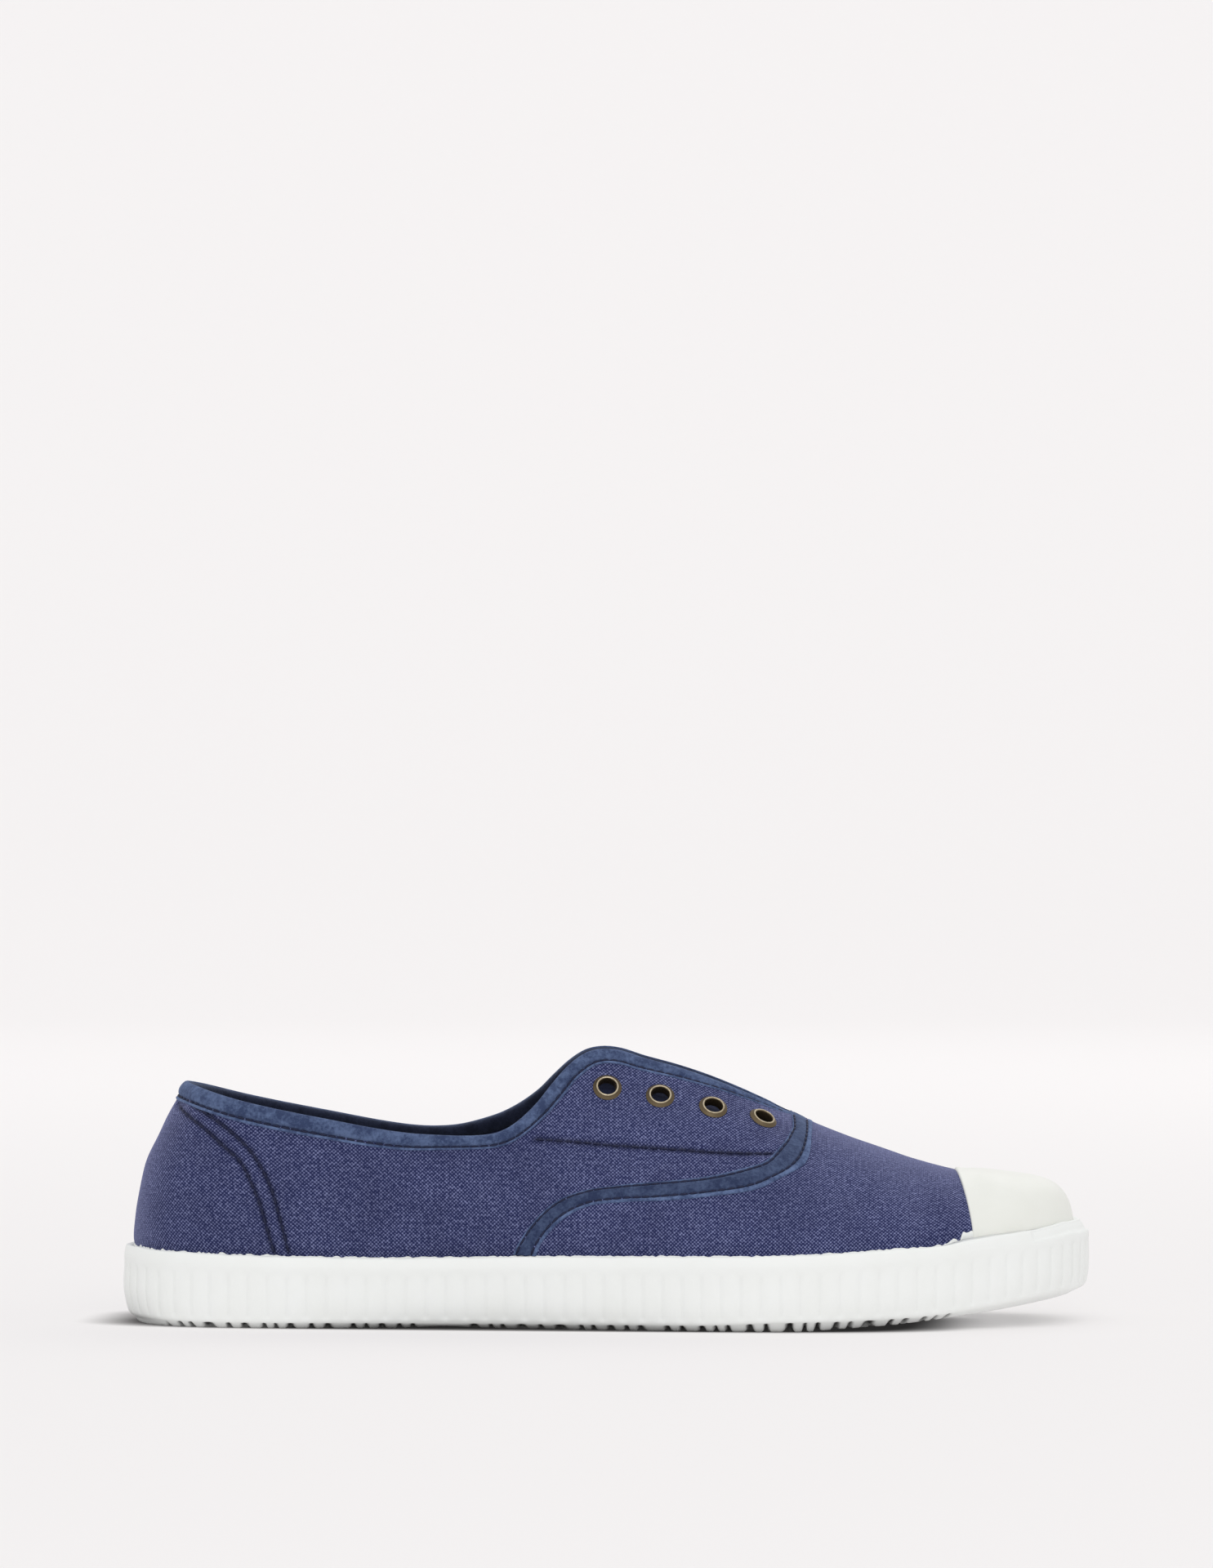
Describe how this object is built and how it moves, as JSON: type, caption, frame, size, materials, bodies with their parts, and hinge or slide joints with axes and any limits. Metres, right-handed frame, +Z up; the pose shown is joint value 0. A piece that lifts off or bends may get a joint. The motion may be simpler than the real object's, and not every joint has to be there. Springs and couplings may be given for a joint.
{
  "type": "canvas sneaker",
  "caption": "Low laceless canvas slip-on sneaker with a white moulded rubber cup sole, a rubber toe cap and metal eyelets.",
  "frame": {"origin": "middle of the shoe's box, on the floor under the sole", "axes": "+X from heel to toe, +Y to the inner (medial) side, +Z up"},
  "size_m": [0.2563, 0.0943, 0.0722],
  "materials": {
    "sole_rubber": "moulded, satin",
    "cap_rubber": "moulded, smooth satin",
    "canvas": "washed navy canvas",
    "gore": "dark elastic gore",
    "lining": "dark cotton lining",
    "eyelet_brass": "antique, lacquered"
  },
  "bodies": {
    "root": {"sole": "sole_rubber", "upper": "canvas", "toe_cap": "cap_rubber", "tongue": "gore", "insole": "lining", "eyelet_outer_1": "eyelet_brass", "eyelet_outer_2": "eyelet_brass", "eyelet_outer_3": "eyelet_brass", "eyelet_outer_4": "eyelet_brass", "eyelet_inner_1": "eyelet_brass", "eyelet_inner_2": "eyelet_brass", "eyelet_inner_3": "eyelet_brass", "eyelet_inner_4": "eyelet_brass"}
  },
  "joints": []
}
